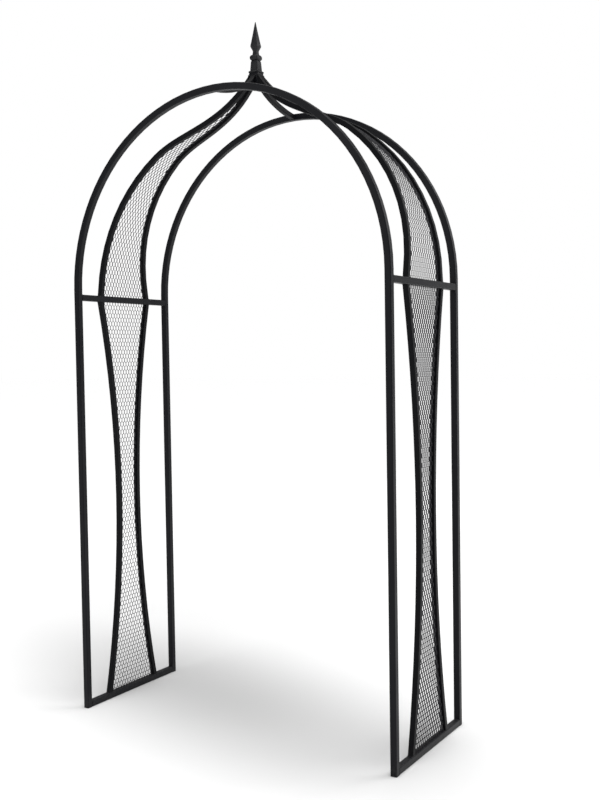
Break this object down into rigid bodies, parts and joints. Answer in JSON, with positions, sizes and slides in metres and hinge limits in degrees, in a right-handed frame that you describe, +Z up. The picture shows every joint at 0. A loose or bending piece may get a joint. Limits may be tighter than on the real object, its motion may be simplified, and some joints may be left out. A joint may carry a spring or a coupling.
{
  "type": "garden arch",
  "caption": "Welded square-tube garden arch with bowed trellis sides of expanded metal that sweep up in an ogee to a spear finial",
  "frame": {"origin": "on the ground, at the centre of the rectangle that the four legs stand on", "axes": "+Z up; X across the walkway, from the left legs to the right legs; Y along the walkway, front at -Y"},
  "size_m": [1.323, 0.533, 2.5311],
  "materials": {
    "frame_paint": "satin charcoal powder coat",
    "rod_paint": "satin charcoal powder coat",
    "mesh_paint": "satin charcoal powder coat",
    "cast_paint": "satin charcoal powder coat"
  },
  "bodies": {
    "root": {"apex_brace_front": "rod_paint", "apex_brace_rear": "rod_paint", "arch_front": "frame_paint", "arch_rear": "frame_paint", "bottom_bar_left": "frame_paint", "bottom_bar_right": "frame_paint", "crossbar_left": "frame_paint", "crossbar_right": "frame_paint", "finial_collar": "cast_paint", "finial_hub": "frame_paint", "finial_spear": "cast_paint", "leg_front_left": "frame_paint", "leg_front_right": "frame_paint", "leg_rear_left": "frame_paint", "leg_rear_right": "frame_paint", "lower_panel_left": "mesh_paint", "lower_panel_right": "mesh_paint", "lower_rod_front_left": "rod_paint", "lower_rod_front_right": "rod_paint", "lower_rod_rear_left": "rod_paint", "lower_rod_rear_right": "rod_paint", "upper_panel_left": "mesh_paint", "upper_panel_right": "mesh_paint", "upper_rod_front_left": "rod_paint", "upper_rod_front_right": "rod_paint", "upper_rod_rear_left": "rod_paint", "upper_rod_rear_right": "rod_paint"}
  },
  "joints": []
}
